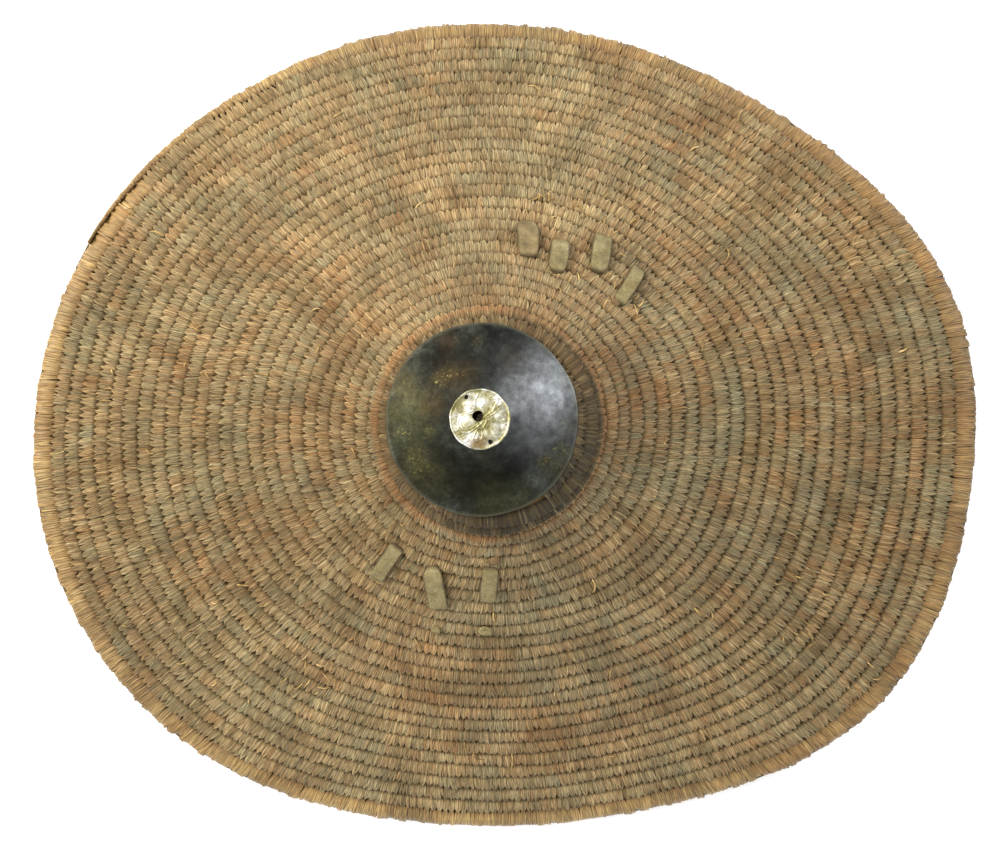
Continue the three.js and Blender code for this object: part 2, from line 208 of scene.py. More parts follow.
# Distance wound along the coil for each turn mark
wound_turns = np.linspace(0.02, LAST_TURN - 0.005, 40000)
wound_length = np.concatenate([[0], np.cumsum(TURN * radius_of(wound_turns[1:]) * np.diff(wound_turns))])


def new_piece(name, mesh, slot, *stands_for):
    """An object for a finished mesh, riding on the shield's one body."""
    piece = bpy.data.objects.new(name, mesh)
    bpy.context.scene.collection.objects.link(piece)
    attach(piece, "root")
    if stands_for:
        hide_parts(*stands_for)
    return piece


def linear(hexa):
    """An sRGB hex colour as linear red, green, blue and alpha."""
    parts = [int(hexa[i:i + 2], 16) / 255 for i in (1, 3, 5)]
    return [p / 12.92 if p <= 0.04045 else ((p + 0.055) / 1.055) ** 2.4 for p in parts] + [1.0]


def node(material, kind, settings=()):
    """Adds a node. A setting is a property, a ramp's stops, or an input: its value, its hex colour or its
    source, which is a socket or a node's first output."""
    made = material.node_tree.nodes.new(kind)
    for name, value in dict(settings).items():
        if isinstance(value, str) and value.startswith("#"):
            value = linear(value)
        if isinstance(value, bpy.types.Node):
            value = value.outputs[0]
        if name == "stops":
            marks = made.color_ramp.elements
            while len(marks) < len(value):
                marks.new(0.5)
            for mark, (place, colour) in zip(marks, value):
                mark.position = place
                mark.color = linear(colour)
        elif isinstance(value, bpy.types.NodeSocket):
            material.node_tree.links.new(value, made.inputs[name])
        elif isinstance(name, str) and hasattr(made, name):
            setattr(made, name, value)
        else:
            made.inputs[name].default_value = value
    return made


def coat(material, colour, *coats):
    """Lays colours over a colour, each given as how much, the colour and, if not plainly, how it mixes."""
    for amount, over, *mode in coats:
        mixed = node(material, "ShaderNodeMix", {
            "data_type": "RGBA", "blend_type": mode[0] if mode else "MIX", 0: amount, 6: colour, 7: over})
        colour = mixed.outputs[2]
    return colour


def new_material(name):
    material = bpy.data.materials.new(name)
    material.use_nodes = True
    material.node_tree.nodes.clear()
    return material


def finish_material(material, settings):
    shader = node(material, "ShaderNodeBsdfPrincipled", settings)
    node(material, "ShaderNodeOutputMaterial", {"Surface": shader})
    return material


def finish_mesh(name, shape, material, smooth=True):
    bmesh.ops.recalc_face_normals(shape, faces=shape.faces)
    mesh = bpy.data.meshes.new(name)
    shape.to_mesh(mesh)
    shape.free()
    if smooth:
        mesh.shade_smooth()
    mesh.materials.append(material)
    return mesh


BUNDLE_STEPS = 110      # sections in one turn
BUNDLE_CORNERS = 10     # corners in one section
BUNDLE_START, BUNDLE_STOP = 0.02, 0.03      # turns left out at the middle and, with that, in all


def dried_grass():
    """Dried grass stalks about a millimetre thick: streaky, brown and dusty, with no shine at all, and
    coloured darker than they are as painted shade for the gaps where they show.
    """
    material = new_material("dry_grass_bundle")
    place = node(material, "ShaderNodeTexCoord").outputs["Object"]
    stalks = node(material, "ShaderNodeTexNoise", {"Scale": 900.0, "Detail": 3.0, "Vector": place})
    patches = node(material, "ShaderNodeTexNoise", {"Scale": 25.0, "Detail": 2.0, "Vector": place})
    grass = node(material, "ShaderNodeValToRGB", {
        "Fac": stalks, "stops": ((0.3, "#3d2f18"), (0.7, "#745c34"))})
    bump = node(material, "ShaderNodeBump", {"Strength": 0.5, "Distance": 0.0004, "Height": stalks})
    return finish_material(material, {
        "Base Color": coat(material, grass, (patches, "#5c4a2a")), "Roughness": 0.95,
        "Specular IOR Level": 0.15, "Normal": bump})


def wind_bundle():
    """A tube on the spiral of the wall, closed at both ends."""
    turns = LAST_TURN - BUNDLE_STOP
    shape = bmesh.new()
    bmesh.ops.create_grid(shape, x_segments=int(turns * BUNDLE_STEPS), y_segments=BUNDLE_CORNERS, size=0.5)
    flat = np.array([v.co[:2] for v in shape.verts]) + 0.5
    turn = BUNDLE_START + flat[:, 0] * turns
    corner = flat[:, 1] * TURN
    lift = 0.78 * np.sin(corner) * np.minimum(1, coil_width(turn) + 0.1)
    for vertex, place in zip(shape.verts, press_flat(on_coil(turn, 0.5 + 0.52 * np.cos(corner), lift))):
        vertex.co = place
    bmesh.ops.remove_doubles(shape, verts=shape.verts, dist=1e-7)
    bmesh.ops.holes_fill(shape, edges=[e for e in shape.edges if e.is_boundary], sides=0)
    mesh = finish_mesh("grass_bundle", shape, dried_grass())
    new_piece("grass_bundle", mesh, "coiled_grass", "coiled_basket")


wind_bundle()

# ---------------------------------------------------------------------------------------------------------
# The stitches: split palm leaf, three narrow strands to a stitch, side by side over the bundle. Each comes
# up from the groove, stands highest near the outer side of its coil and ends there in a point, pinched by
# the next coil's stitches, so every coil has a toothed edge.

STITCH_PITCH = 4.35
STRAND_CREST, STRAND_EDGE = 0.20, -0.22      # how a strand's middle and its edges stand to its lift
RIM_FROM = LAST_TURN - 1.05     # the turn where the wrapping of the rim begins
random = np.random.default_rng(7)

# Rows of one strand: across the coil, lift in half thicknesses, share of its full width, and how far from
# the middle of its stitch it lies, as a share of the same distance on the crest
FACE_ROWS = np.array([
    (-0.08, 0.26, 0.95, 1.0), (0.08, 0.60, 1.05, 1.0), (0.27, 0.88, 1.12, 1.0), (0.52, 1.04, 1.12, 1.0),
    (0.77, 1.08, 1.06, 0.92), (0.96, 0.92, 0.82, 0.58), (1.14, 0.66, 0.36, 0.16),
])
BACK_ROWS = np.array([
    (1.0, -0.30, 0.85, 1.0), (0.86, -0.74, 1.02, 1.0), (0.48, -1.0, 1.05, 1.0), (0.10, -0.74, 0.88, 1.0),
    (-0.08, -0.50, 0.55, 1.0),
])
# The rim is wrapped all the way round, so its stitches are loops.
LOOP_ROWS = np.array([
    (-0.10, 0.66, 0.60, 0.6), (0.02, 0.80, 0.80, 0.8), (0.14, 0.88, 1.0, 1.0), (0.32, 0.98, 1.05, 1.0),
    (0.52, 1.0, 1.05, 1.0), (0.72, 0.92, 1.05, 1.0), (0.88, 0.70, 1.05, 1.0), (0.98, 0.34, 1.05, 1.0),
    (1.0, 0.0, 1.05, 1.0), (0.96, -0.40, 1.0, 1.0), (0.84, -0.74, 1.0, 1.0), (0.60, -0.96, 1.0, 1.0),
    (0.34, -0.96, 1.0, 1.0), (0.10, -0.78, 0.85, 1.0), (-0.04, -0.55, 0.6, 0.8),
])


def stitch_turns(first, last):
    """Where the stitches sit, in turns, at their pitch along the coil with a little wander."""
    start, end = np.interp([first, last], wound_turns, wound_length)
    count = int((end - start) / STITCH_PITCH)
    along = start + (np.arange(count) + 0.5 + random.uniform(-0.06, 0.06, count)) * (end - start) / count
    return np.interp(along, wound_length, wound_turns), along


def patchy(places, size, seed):
    """Smooth noise from about -1 to 1 at each place, in patches of this size."""
    shift = Vector((seed * 7.1, seed * 3.3, seed * 1.9))
    return np.array([noise.noise(Vector(p) / size + shift) for p in places]) * 1.6


def paint(mesh, label, values):
    """Keeps a number or a vector at each vertex for the material to read."""
    values = np.asarray(values, dtype=np.float32)
    kind, field = ("FLOAT", "value") if values.ndim == 1 else ("FLOAT_VECTOR", "vector")
    layer = mesh.attributes.new(label, kind, "POINT")
    layer.data.foreach_set(field, values.reshape(-1))


def strand_colours(turn, along, middle, side, from_groove, across):
    """How ruddy, grey and light each corner of each strand is, and how much dust and painted shade it has at
    its groove end and at the neck, how near its edge, and how much grime and painted shade it has at the
    neck, as two arrays of vectors."""
    count = len(turn)
    rope = np.stack([along / 17, np.floor(turn) * 0.8, 0 * along], axis=-1)
    ruddy = 0.36 + 0.26 * patchy(middle, 95, 2) + 0.26 * patchy(rope, 1, 3) + random.normal(0, 0.15, count)
    grey = 0.46 + 0.22 * patchy(middle, 60, 4) + 0.30 * patchy(rope, 1, 5) + random.normal(0, 0.14, count)
    light = 0.53 + 0.14 * patchy(middle, 40, 6) + random.normal(0, 0.26, count)
    light += np.where(random.random(count) < 0.10, 0.35, 0)
    # Paler towards the two ends, where the rim is low. Painted shade darkens the right-hand side and the
    # lower side and lightens the top, as if lit from the upper left. A band on the left about 120 mm out is
    # darker, and painted shade darkens the whole rim, most on its upper right.
    angle = COIL_END + (turn % 1) * TURN
    light += 0.54 * (0.42 - np.abs(np.cos(angle)) ** 3) - 0.14 * np.cos(angle) + 0.05 * np.sin(angle)
    light -= 0.28 * np.maximum(-np.cos(angle), 0) * np.exp(-((radius_of(turn) - 120) / 70) ** 2)
    light -= np.where(turn > RIM_FROM, 0.30 * np.cos(angle - 0.5) + 0.05, 0)
    # A rusty line runs round the foot. The neck above it, behind the edge of the boss, and the crown under
    # the boss are grey with dirt and darkened partly by painted shade, most on the lower right, away from
    # the lamp.
    out = turn[:, None] - CROWN_TURNS + across
    neck = np.clip((0.25 - out) / 0.35, 0, 1)
    rusty = np.exp(-((out - 0.42) / 0.30) ** 2) * (0.8 + 0.3 * patchy(middle, 25, 8))[:, None]
    warm = 0.35 * np.exp(-np.maximum(out, 0) / 3) * (0.5 + 0.5 * np.cos(angle + math.radians(30)))[:, None]
    ruddy = ruddy[:, None] + 0.9 * rusty + warm
    # Strongest on the lower right, the side away from the lamp: grey dirt there, and painted shade under the
    # boss's edge.
    grimy_and_shaded_side = (0.5 + 0.5 * np.cos(angle + math.radians(52)))[:, None] ** 2
    grey = (grey[:, None] * (1 - 0.8 * rusty)) * (1 - neck) + (0.2 + 0.75 * grimy_and_shaded_side) * neck
    # The outer tips of the strands are lightened: a painted highlight where they catch the light.
    light = light[:, None] - 0.25 * rusty + 0.28 * np.clip((across - 0.75) / 0.3, 0, 1)
    light = light + neck * random.normal(-0.35, 0.45, count)[:, None]
    # Dust and painted shade darken each strand where it comes up out of the groove.
    start = 1.25 * np.clip((0.25 - from_groove) / 0.24, 0, 1)
    dust_and_shade = np.maximum(start, neck * (0.5 + 0.6 * grimy_and_shaded_side) * random.uniform(0.6, 1.6, count)[:, None])
    soot = neck * (0.45 + 0.55 * grimy_and_shaded_side) * random.normal(0.75, 0.35, count).clip(0, 1)[:, None]
    tone = np.stack([ruddy, grey, light], axis=-1).clip(0, 1)
    marks = np.stack([dust_and_shade.clip(0, 1.5), np.abs(side) + 0 * across, soot + 0 * across], axis=-1)
    return tone, marks


def lay_stitches(name, first, last, rows, strands, material):
    """One mesh of stitches over these turns, each of so many strands. A strand is a grid of these rows,
    three corners wide, with its middle standing higher than its edges."""
    turn, along = [np.repeat(a, strands) for a in stitch_turns(first, last)]
    count = len(turn)
    grid = bmesh.new()
    bmesh.ops.create_grid(grid, x_segments=2, y_segments=len(rows) - 1, size=0.5)
    spots = np.array([v.co[:2] for v in grid.verts]) + 0.5
    row = np.rint(spots[:, 1] * (len(rows) - 1)).astype(int)
    side = (np.rint(spots[:, 0] * 2) - 1)[None, :]
    faces = np.array([[v.index for v in f.verts] for f in grid.faces])
    grid.free()

    # Each strand's own width, place in its stitch, slant, height, twist and reach
    middle = on_coil(turn, np.full(count, 0.5), np.full(count, 1.0)) / MM
    full = STITCH_PITCH / strands
    width = full * random.uniform(1.05, 1.55, count)[:, None]
    place = (np.arange(count) % strands - (strands - 1) / 2) * full
    place = (place + random.normal(0, 0.09 * full, count))[:, None]
    slant = 1.1 * patchy(middle, 80, 1) + 0.9 * patchy(middle, 14, 9) + random.normal(0, 0.45, count)
    raised = random.normal(0, 0.17, count)[:, None]
    twist = random.normal(0, 0.20, count)[:, None]
    stitch_reach = np.repeat(random.normal(0, 0.05, count // strands), strands)
    reach = (stitch_reach + random.normal(0, 0.03, count))[:, None]

    over = rows[row][None, :, :]
    across = over[..., 0] + reach * np.clip((over[..., 0] - 0.55) / 0.35, 0, 1)
    offset = place * over[..., 3] + side * 0.5 * width * over[..., 2]
    offset = offset - slant[:, None] * (across - 0.5) * 1.6
    proud = np.where(side == 0, STRAND_CREST, STRAND_EDGE) + raised + twist * side
    at = turn[:, None] + offset / (TURN * np.maximum(radius_of(turn), 3))[:, None]
    outward = np.sign(over[..., 1] + 1e-6)
    places = press_flat(on_coil(at, across + 0 * at, over[..., 1] + 0 * at, proud * outward))

    mesh = bpy.data.meshes.new(name)
    every = (faces[None] + (np.arange(count) * len(spots))[:, None, None]).reshape(-1, 4)
    mesh.from_pydata(places.reshape(-1, 3).tolist(), [], every.tolist())
    mesh.shade_smooth()
    seed = random.uniform(0, 50, count)[:, None]
    tone, marks = strand_colours(turn, along, middle, side, over[..., 0], across)
    paint(mesh, "grain", np.stack([offset, across * 11, seed + 0 * offset], axis=-1))
    paint(mesh, "tone", tone)
    paint(mesh, "marks", marks)
    mesh.materials.append(material)
    return new_piece(name, mesh, "coiled_grass", "coiled_basket")


def leaf_material(name, dull, pale, ruddy, grey, dust_and_shade_colour, roughness, shine):
    """Split palm leaf: fine fibres along the strand, and a brown of its own on each, pale to ruddy or grey,
    so the weave looks dry, matt and uneven. Real fibres are near 0.3 mm; they are drawn 0.8 mm apart to
    show, over stains of about 30 mm."""
    material = new_material(name)
    tone, marks = [
        node(material, "ShaderNodeSeparateXYZ", {
            0: node(material, "ShaderNodeAttribute", {"attribute_name": label}).outputs["Vector"]}).outputs
        for label in ("tone", "marks")]
    grain = node(material, "ShaderNodeAttribute", {"attribute_name": "grain"}).outputs["Vector"]
    lengthways = node(material, "ShaderNodeVectorMath", {
        "operation": "MULTIPLY", 0: grain, 1: (1.0, 0.10, 1.0)})
    fibres = node(material, "ShaderNodeTexNoise", {
        "Scale": 1.5, "Detail": 3.0, "Roughness": 0.65, "Vector": lengthways})
    place = node(material, "ShaderNodeTexCoord").outputs["Object"]
    stains = node(material, "ShaderNodeTexNoise", {"Scale": 30.0, "Detail": 5.0, "Vector": place})
    lines, edges, blotches = [
        node(material, "ShaderNodeValToRGB", {"Fac": read, "stops": stops})
        for read, stops in (
            (fibres, ((0.32, "#6d6455"), (0.48, "#c9c4bb"), (0.64, "#ffffff"))),
            (marks[1], ((0.35, "#ffffff"), (1.0, "#8d806c"))),
            (stains, ((0.35, "#b9b0a4"), (0.6, "#ffffff"))))]
    reddened, greyed, dust_and_shade, grime_and_shade_amount = [
        node(material, "ShaderNodeMath", {"operation": "MULTIPLY", 0: read, 1: most})
        for read, most in ((tone[0], 0.75), (tone[1], 0.75), (marks[0], 0.6), (marks[2], 0.8))]
    # The last two coats are dust with painted shade, then near-black grime with painted shade.
    straw = coat(
        material, dull, (tone[2], pale), (reddened, ruddy), (greyed, grey), (0.8, lines, "MULTIPLY"),
        (0.7, edges, "MULTIPLY"), (0.6, blotches, "MULTIPLY"), (dust_and_shade, dust_and_shade_colour), (grime_and_shade_amount, "#2b2720"))
    bump = node(material, "ShaderNodeBump", {"Strength": 0.6, "Distance": 0.0005, "Height": fibres})
    return finish_material(material, {
        "Base Color": straw, "Roughness": roughness, "Specular IOR Level": shine, "Normal": bump})


dusty_leaf = leaf_material(
    "dusty_palm_leaf", "#8f764c", "#d2b988", "#b07e50", "#8f8f72", "#4c3b1b", 0.8, 0.25)
rim_leaf = leaf_material(
    "bare_palm_leaf", "#a88449", "#e2c17d", "#b98548", "#9f8b5c", "#6a4c20", 0.45, 0.5)

lay_stitches("stitches_by_the_boss", CROWN_TURNS - 2.6, CROWN_TURNS + 12, FACE_ROWS, 3, dusty_leaf)
lay_stitches("stitches_mid_wall", CROWN_TURNS + 12, CROWN_TURNS + 19, FACE_ROWS, 3, dusty_leaf)
lay_stitches("stitches_outer_wall", CROWN_TURNS + 19, RIM_FROM, FACE_ROWS, 3, dusty_leaf)
lay_stitches("stitches_round_the_rim", RIM_FROM, LAST_TURN - 0.02, LOOP_ROWS, 3, rim_leaf)
lay_stitches("stitches_inside", 0.4, RIM_FROM, BACK_ROWS, 1, dusty_leaf)

# ---------------------------------------------------------------------------------------------------------
# The boss: sheet brass hammered into a low cone, slipped over the crown and leaning with it. Long handling
# and grease have turned it nearly black, with olive and rust-brown patches and a few rubbed brassy specks.

BOSS_TOP_RADIUS, BOSS_RISE, BOSS_FLARE = 17, 27, 1.2
BOSS_BORE, BOSS_SHEET = 7, 1.6
BOSS_STEPS = 160

lean_axis = Vector((-math.sin(LEAN_TOWARDS), math.cos(LEAN_TOWARDS), 0))
boss_foot = Vector((MIDDLE_X + BOSS_AT.x, MIDDLE_Y + BOSS_AT.y, FOOT_Z + LIP_ABOVE_FOOT))
on_crown = Matrix.Scale(MM, 4) @ Matrix.Translation(boss_foot) @ Matrix.Rotation(LEAN, 4, lean_axis)


def boss_height(radius):
    share = min(max((radius - BOSS_TOP_RADIUS) / (BOSS_RADIUS - BOSS_TOP_RADIUS), 0), 1)
    return BOSS_RISE * (1 - share) ** BOSS_FLARE


def wobble(shape, size, depth, seed):
    """Moves every vertex along its normal by smooth noise."""
    shape.normal_update()
    shift = Vector((seed * 3.7, seed * 5.1, seed * 2.3))
    for vertex in shape.verts:
        vertex.co += vertex.normal * depth * noise.noise(vertex.co / size + shift)


def patinated_brass():
    """Hammered sheet brass under a greasy black-brown patina: dark and cloudy, with a soft painted sheen on
    the right where the right-hand lamp is mirrored, and small bare specks."""
    material = new_material("patinated_brass")
    place = node(material, "ShaderNodeTexCoord").outputs["Object"]
    olive, brown, brassy = node(material, "ShaderNodeSeparateXYZ", {
        0: node(material, "ShaderNodeAttribute", {"attribute_name": "tarnish"}).outputs["Vector"]}).outputs
    rubbed, soot, lip = [
        node(material, "ShaderNodeAttribute", {"attribute_name": label}).outputs["Fac"]
        for label in ("rubbed", "soot", "from_middle")]
    # Clouds tens of millimetres across, flecks of five, specks of one or two, and smears of a dozen
    clouds, flecks, specks, smears = [
        node(material, "ShaderNodeTexNoise", {
            "Scale": scale, "Detail": detail, "Roughness": rough, "Distortion": bend, "Vector": place})
        for scale, detail, rough, bend in (
            (38.0, 9.0, 0.74, 0.1), (190.0, 8.0, 0.8, 0.0), (480.0, 5.0, 0.75, 0.0), (75.0, 7.0, 0.7, 0.0))]
    # A scuff line runs just inside the lip, and the lip itself is rubbed.
    black, flecked, specked, scuff, worn_lip = [
        node(material, "ShaderNodeValToRGB", {"Fac": read, "stops": stops})
        for read, stops in (
            (clouds, ((0.34, "#14130f"), (0.45, "#22231f"), (0.55, "#353831"), (0.66, "#5a5e57"))),
            (flecks, ((0.40, "#5c5c58"), (0.50, "#c8c8c4"), (0.58, "#ffffff"))),
            (specks, ((0.56, "#000000"), (0.65, "#ffffff"))),
            (lip, ((0.935, "#000000"), (0.945, "#4a4a4a"), (0.958, "#000000"))),
            (lip, ((0.975, "#000000"), (0.996, "#808080"))))]
    bare = coat(material, specked, (1.0, brassy, "MULTIPLY"))
    # The pale grey coat is a painted sheen on the right.
    colour = coat(
        material, black, (rubbed, "#a3a5a6"), (soot, "#100f0c"), (olive, "#4a4a2f"), (brown, "#463623"),
        (0.45, flecked, "MULTIPLY"), (bare, "#9a9054"), (scuff, "#0c0b09"), (worn_lip, "#97947c"))
    roughness = node(material, "ShaderNodeMapRange", {
        "From Min": 0.3, "From Max": 0.7, "To Min": 0.38, "To Max": 0.62, "Value": smears})
    bump = node(material, "ShaderNodeBump", {"Strength": 0.6, "Distance": 0.0008, "Height": smears})
    return finish_material(material, {
        "Base Color": colour, "Metallic": 0.9, "Roughness": roughness, "Normal": bump})


# Patches on the boss: place, size, and how much olive, brown and bare brass
BOSS_PATCHES = [
    (-48, 2, 18, 0.60, 0.0, 0.10), (-42, -27, 12, 0.60, 0.1, 0.25), (-33, -8, 3.4, 0.8, 0.0, 1.0),
    (-51, -9, 5, 0.5, 0.0, 0.9), (-43, -29, 5, 0.4, 0.0, 0.9), (-26, 26, 5, 0.4, 0.4, 1.0),
    (-17, 29, 5, 0.4, 0.5, 0.5), (-12, 28, 12, 0.35, 0.4, 0.15), (-33, 9, 8, 0.2, 0.45, 0.1),
    (53, -20, 6, 0.5, 0.0, 0.9), (58, -3, 6, 0.4, 0.0, 0.3), (-3, 52, 3, 0.3, 0.3, 0.7),
    (9, -55, 15, 0.60, 0.0, 0.1), (42, -28, 4, 0.4, 0.2, 0.6), (-30, -40, 14, 0.40, 0.1, 0.1),
    (-22, 52, 6, 0.1, 0.6, 0.2), (22, 40, 9, 0.0, 0.30, 0.0), (-52, 22, 10, 0.4, 0.2, 0.1),
    (2, -24, 9, 0.25, 0.0, 0.0), (28, -52, 9, 0.50, 0.0, 0.1), (50, -32, 10, 0.35, 0.1, 0.2),
]
# Greasy black patina with painted dark reflection: a crescent below the disc and the upper side. Place,
# size, amount
BOSS_GRIME_AND_SHADE = [
    (-24, -38, 12, 0.7), (-8, -44, 12, 0.9), (8, -42, 12, 0.8), (22, -34, 10, 0.6), (0, 56, 14, 0.5),
    (22, 52, 12, 0.4), (8, 30, 12, 0.4),
]
# Painted sheen, the patina lightened on the right where the lamp is mirrored: its middle and its reach, in x
# and y
SHEEN_AT, SHEEN_SIZE = (42, 16), (30, 32)


def beat_boss():
    """Spins the sheet's section, dents it as hammering does, and marks its patches."""
    shape = bmesh.new()
    radii = [BOSS_BORE + (BOSS_RADIUS - BOSS_BORE) * (i / 40) ** 0.9 for i in range(41)]
    profile = [(r, boss_height(r) + BOSS_SHEET) for r in radii]
    profile += [(BOSS_RADIUS + 0.25, 0.8)]
    profile += [(r, boss_height(r)) for r in reversed(radii[::3] + radii[-1:])]
    corners = [shape.verts.new((r, 0, z)) for r, z in profile]
    for a, b in zip(corners, corners[1:] + corners[:1]):
        shape.edges.new((a, b))
    bmesh.ops.spin(shape, geom=shape.verts[:] + shape.edges[:], axis=(0, 0, 1), cent=(0, 0, 0), angle=TURN,
                   steps=BOSS_STEPS, use_merge=True, use_duplicate=False)
    bmesh.ops.recalc_face_normals(shape, faces=shape.faces)
    wobble(shape, 26, 0.9, 1)
    wobble(shape, 9, 0.16, 2)
    from_middle = [min(math.hypot(v.co.x, v.co.y) / BOSS_RADIUS, 1) for v in shape.verts]
    rubbed = np.zeros(len(shape.verts))
    soot = np.zeros(len(shape.verts))
    tarnish = np.zeros((len(shape.verts), 3))
    for i, spot in enumerate(v.co for v in shape.verts):
        # Painted sheen: a smeared patch on the right, lighter nearer its middle.
        across = (spot.x - SHEEN_AT[0]) / SHEEN_SIZE[0]
        along = (spot.y - SHEEN_AT[1]) / SHEEN_SIZE[1]
        smeared = 1 + 0.4 * noise.noise(spot / 14) + 0.45 * noise.noise(spot / 4.5)
        rubbed[i] = 0.62 * math.exp(-(across**2 + along**2)) * smeared
        # Greasy black patina and painted dark reflection darken the crescent below the disc and the upper
        # side.
        for x, y, size, amount in BOSS_GRIME_AND_SHADE:
            soot[i] += amount * math.exp(-((spot.x - x) ** 2 + (spot.y - y) ** 2) / size**2)
        soot[i] *= 1 + 0.4 * noise.noise(spot / 7)
        ragged = 1 + 0.5 * noise.noise(spot / 9) + 0.35 * noise.noise(spot / 3.5)
        for x, y, size, *amounts in BOSS_PATCHES:
            near = math.exp(-((spot.x - x) ** 2 + (spot.y - y) ** 2) / size**2)
            tarnish[i] += np.array(amounts) * near * ragged
    bmesh.ops.transform(shape, matrix=on_crown, verts=shape.verts)
    mesh = finish_mesh("brass_boss", shape, patinated_brass())
    paint(mesh, "from_middle", from_middle)
    paint(mesh, "rubbed", rubbed.clip(0, 1))
    paint(mesh, "soot", soot.clip(0, 0.9))
    paint(mesh, "tarnish", tarnish.clip(0, 0.9))
    new_piece("brass_boss", mesh, "dark_brass", "boss")


beat_boss()

# ---------------------------------------------------------------------------------------------------------
# The disc on the apex: a large struck silver coin, pierced by a ragged middle hole and two small ones, worn
# nearly smooth, greyish yellow in its hollows and stained brown low down. Its picture is only worn curves
# and strokes. It lies on the boss's flat top.

DISC_RADIUS, DISC_THICKNESS, DISC_GAP = 20, 2, 0.5
DISC_AT = Vector((0.8, -1.7))     # from the middle of the boss
DISC_HOLES = [(-1.3, 2.0, 3.6), (-8.9, 14.4, 1.45), (6.9, -15.1, 1.6)]   # x, y, radius
DISC_RINGS, DISC_STEPS = 90, 240
DISC_EDGE = 0.35        # the face is worn round this far from its edge
FACE_SUNK = 0.45        # the ground of the picture lies this far below the blank's face
STROKES_AT = 16.6       # radius of the ring of border strokes
DISC_RELIEF = [  # lines struck into the face: width, height, then the places they pass through
    (0.55, 0.40, [(-4.8, 5.5), (-8.6, 4.0), (-12.7, 2.4), (-14.4, -1.5), (-14.2, -5.9), (-11.4, -8.5),
                  (-7.4, -9.0), (-3.1, -6.3), (0.4, -3.3), (3.0, -1.0)]),
    (0.45, 0.30, [(-5.5, 3.6), (-9.5, 2.6), (-12.2, 0.4), (-12.6, -3.5), (-10.6, -6.6), (-7.2, -7.1),
                  (-3.6, -4.8), (-1.2, -3.0)]),
    (0.60, 0.42, [(3.2, 1.2), (5.6, 3.2), (8.3, 5.0), (9.4, 7.4), (10.2, 9.4), (11.6, 11.4)]),
    (0.45, 0.30, [(3.8, 0.2), (7.0, 2.4), (10.4, 4.2), (13.0, 7.0)]),
    (0.50, 0.34, [(5.8, -0.2), (9.2, -1.1), (13.5, -1.1), (17.0, 0.2)]),
    (0.50, 0.34, [(4.6, -0.8), (3.2, -4.1), (2.2, -6.0), (-1.3, -6.5), (-3.6, -9.6), (-4.4, -13.0)]),
    (0.40, 0.26, [(1.2, -7.0), (1.8, -10.0), (1.0, -13.2)]),
    (0.40, 0.24, [(-1.4, -8.0), (-1.0, -10.6), (-2.0, -13.0)]),
    (0.45, 0.26, [(1.0, 8.0), (3.6, 10.4), (3.2, 13.6), (0.4, 15.2)]),
    (0.45, 0.26, [(-3.5, 9.4), (-3.0, 13.0), (-0.8, 16.4)]),
    (0.50, 0.30, [(7.4, -6.0), (9.4, -8.4), (9.6, -11.4)]),
]
DISC_SWELLS = [(-9, -2.5, 4.6, 0.45), (9.5, 4.5, 5.0, 0.30), (6.5, -7.5, 5.0, 0.30), (-8.5, 9, 4.6, 0.25)]
DISC_STROKES = list(range(158, 246, 8)) + [38, 46, 54, 62, 350, 358]   # directions of the border strokes


def struck_height(x, y):
    """Height of the coin's picture over its flat face."""
    radius = np.hypot(x, y)
    angle = np.arctan2(y, x)
    height = 0.32 / (1 + np.exp(-(radius - 18.9) / 0.18))
    for width, rise, line in DISC_RELIEF:
        nearest = np.full(len(x), 1e9)
        for (ax, ay), (bx, by) in zip(line, line[1:]):
            share = ((x - ax) * (bx - ax) + (y - ay) * (by - ay)) / ((bx - ax)**2 + (by - ay)**2)
            share = np.clip(share, 0, 1)
            nearest = np.minimum(nearest, np.hypot(x - ax - share * (bx - ax), y - ay - share * (by - ay)))
        height = np.maximum(height, 0.62 * rise * np.exp(-(nearest / (0.8 * width)) ** 2))
    for cx, cy, size, rise in DISC_SWELLS:
        height = height + rise * np.exp(-((x - cx)**2 + (y - cy)**2) / size**2)
    for k, direction in enumerate(DISC_STROKES):
        middle = math.radians(direction) + 0.03 * math.sin(9 * k)
        off = (angle - middle + math.pi) % TURN - math.pi
        leaning = off * radius + (0.5 + 0.3 * math.sin(5 * k)) * (radius - STROKES_AT)
        stroke = np.exp(-(leaning / 0.38) ** 2) * np.exp(-((radius - STROKES_AT) / 1.2) ** 4)
        height = height + 0.26 * stroke
    return height


def old_silver():
    """Struck silver, handled for generations: pale and softly shining on what stands up, with yellow-grey
    tarnish in the hollows and dirt along the feet of the raised lines."""
    material = new_material("old_silver")
    place = node(material, "ShaderNodeTexCoord").outputs["Object"]
    relief, stain = [
        node(material, "ShaderNodeAttribute", {"attribute_name": label}).outputs["Fac"]
        for label in ("relief", "stain")]
    # Tarnish in spots of about 9 mm, and fine soiling of 2 mm
    spots = node(material, "ShaderNodeTexNoise", {
        "Scale": 110.0, "Detail": 6.0, "Roughness": 0.62, "Vector": place})
    fine = node(material, "ShaderNodeTexNoise", {"Scale": 420.0, "Detail": 4.0, "Vector": place})
    silver, grime, soiling = [
        node(material, "ShaderNodeValToRGB", {"Fac": read, "stops": stops})
        for read, stops in (
            (spots, ((0.36, "#6f6a44"), (0.45, "#9b9670"), (0.53, "#c3c1ab"), (0.63, "#f1f1ec"))),
            (relief, ((0.02, "#101010"), (0.10, "#c8c8c8"), (0.22, "#a0a0a0"), (0.38, "#000000"))),
            (fine, ((0.56, "#000000"), (0.70, "#909090"))))]
    colour = coat(material, silver, (grime, "#5f5a38"), (soiling, "#6b6236"), (stain, "#6e5630"))
    bump = node(material, "ShaderNodeBump", {"Strength": 0.4, "Distance": 0.0003, "Height": fine})
    return finish_material(material, {
        "Base Color": colour, "Metallic": 0.9, "Roughness": 0.46, "Normal": bump})


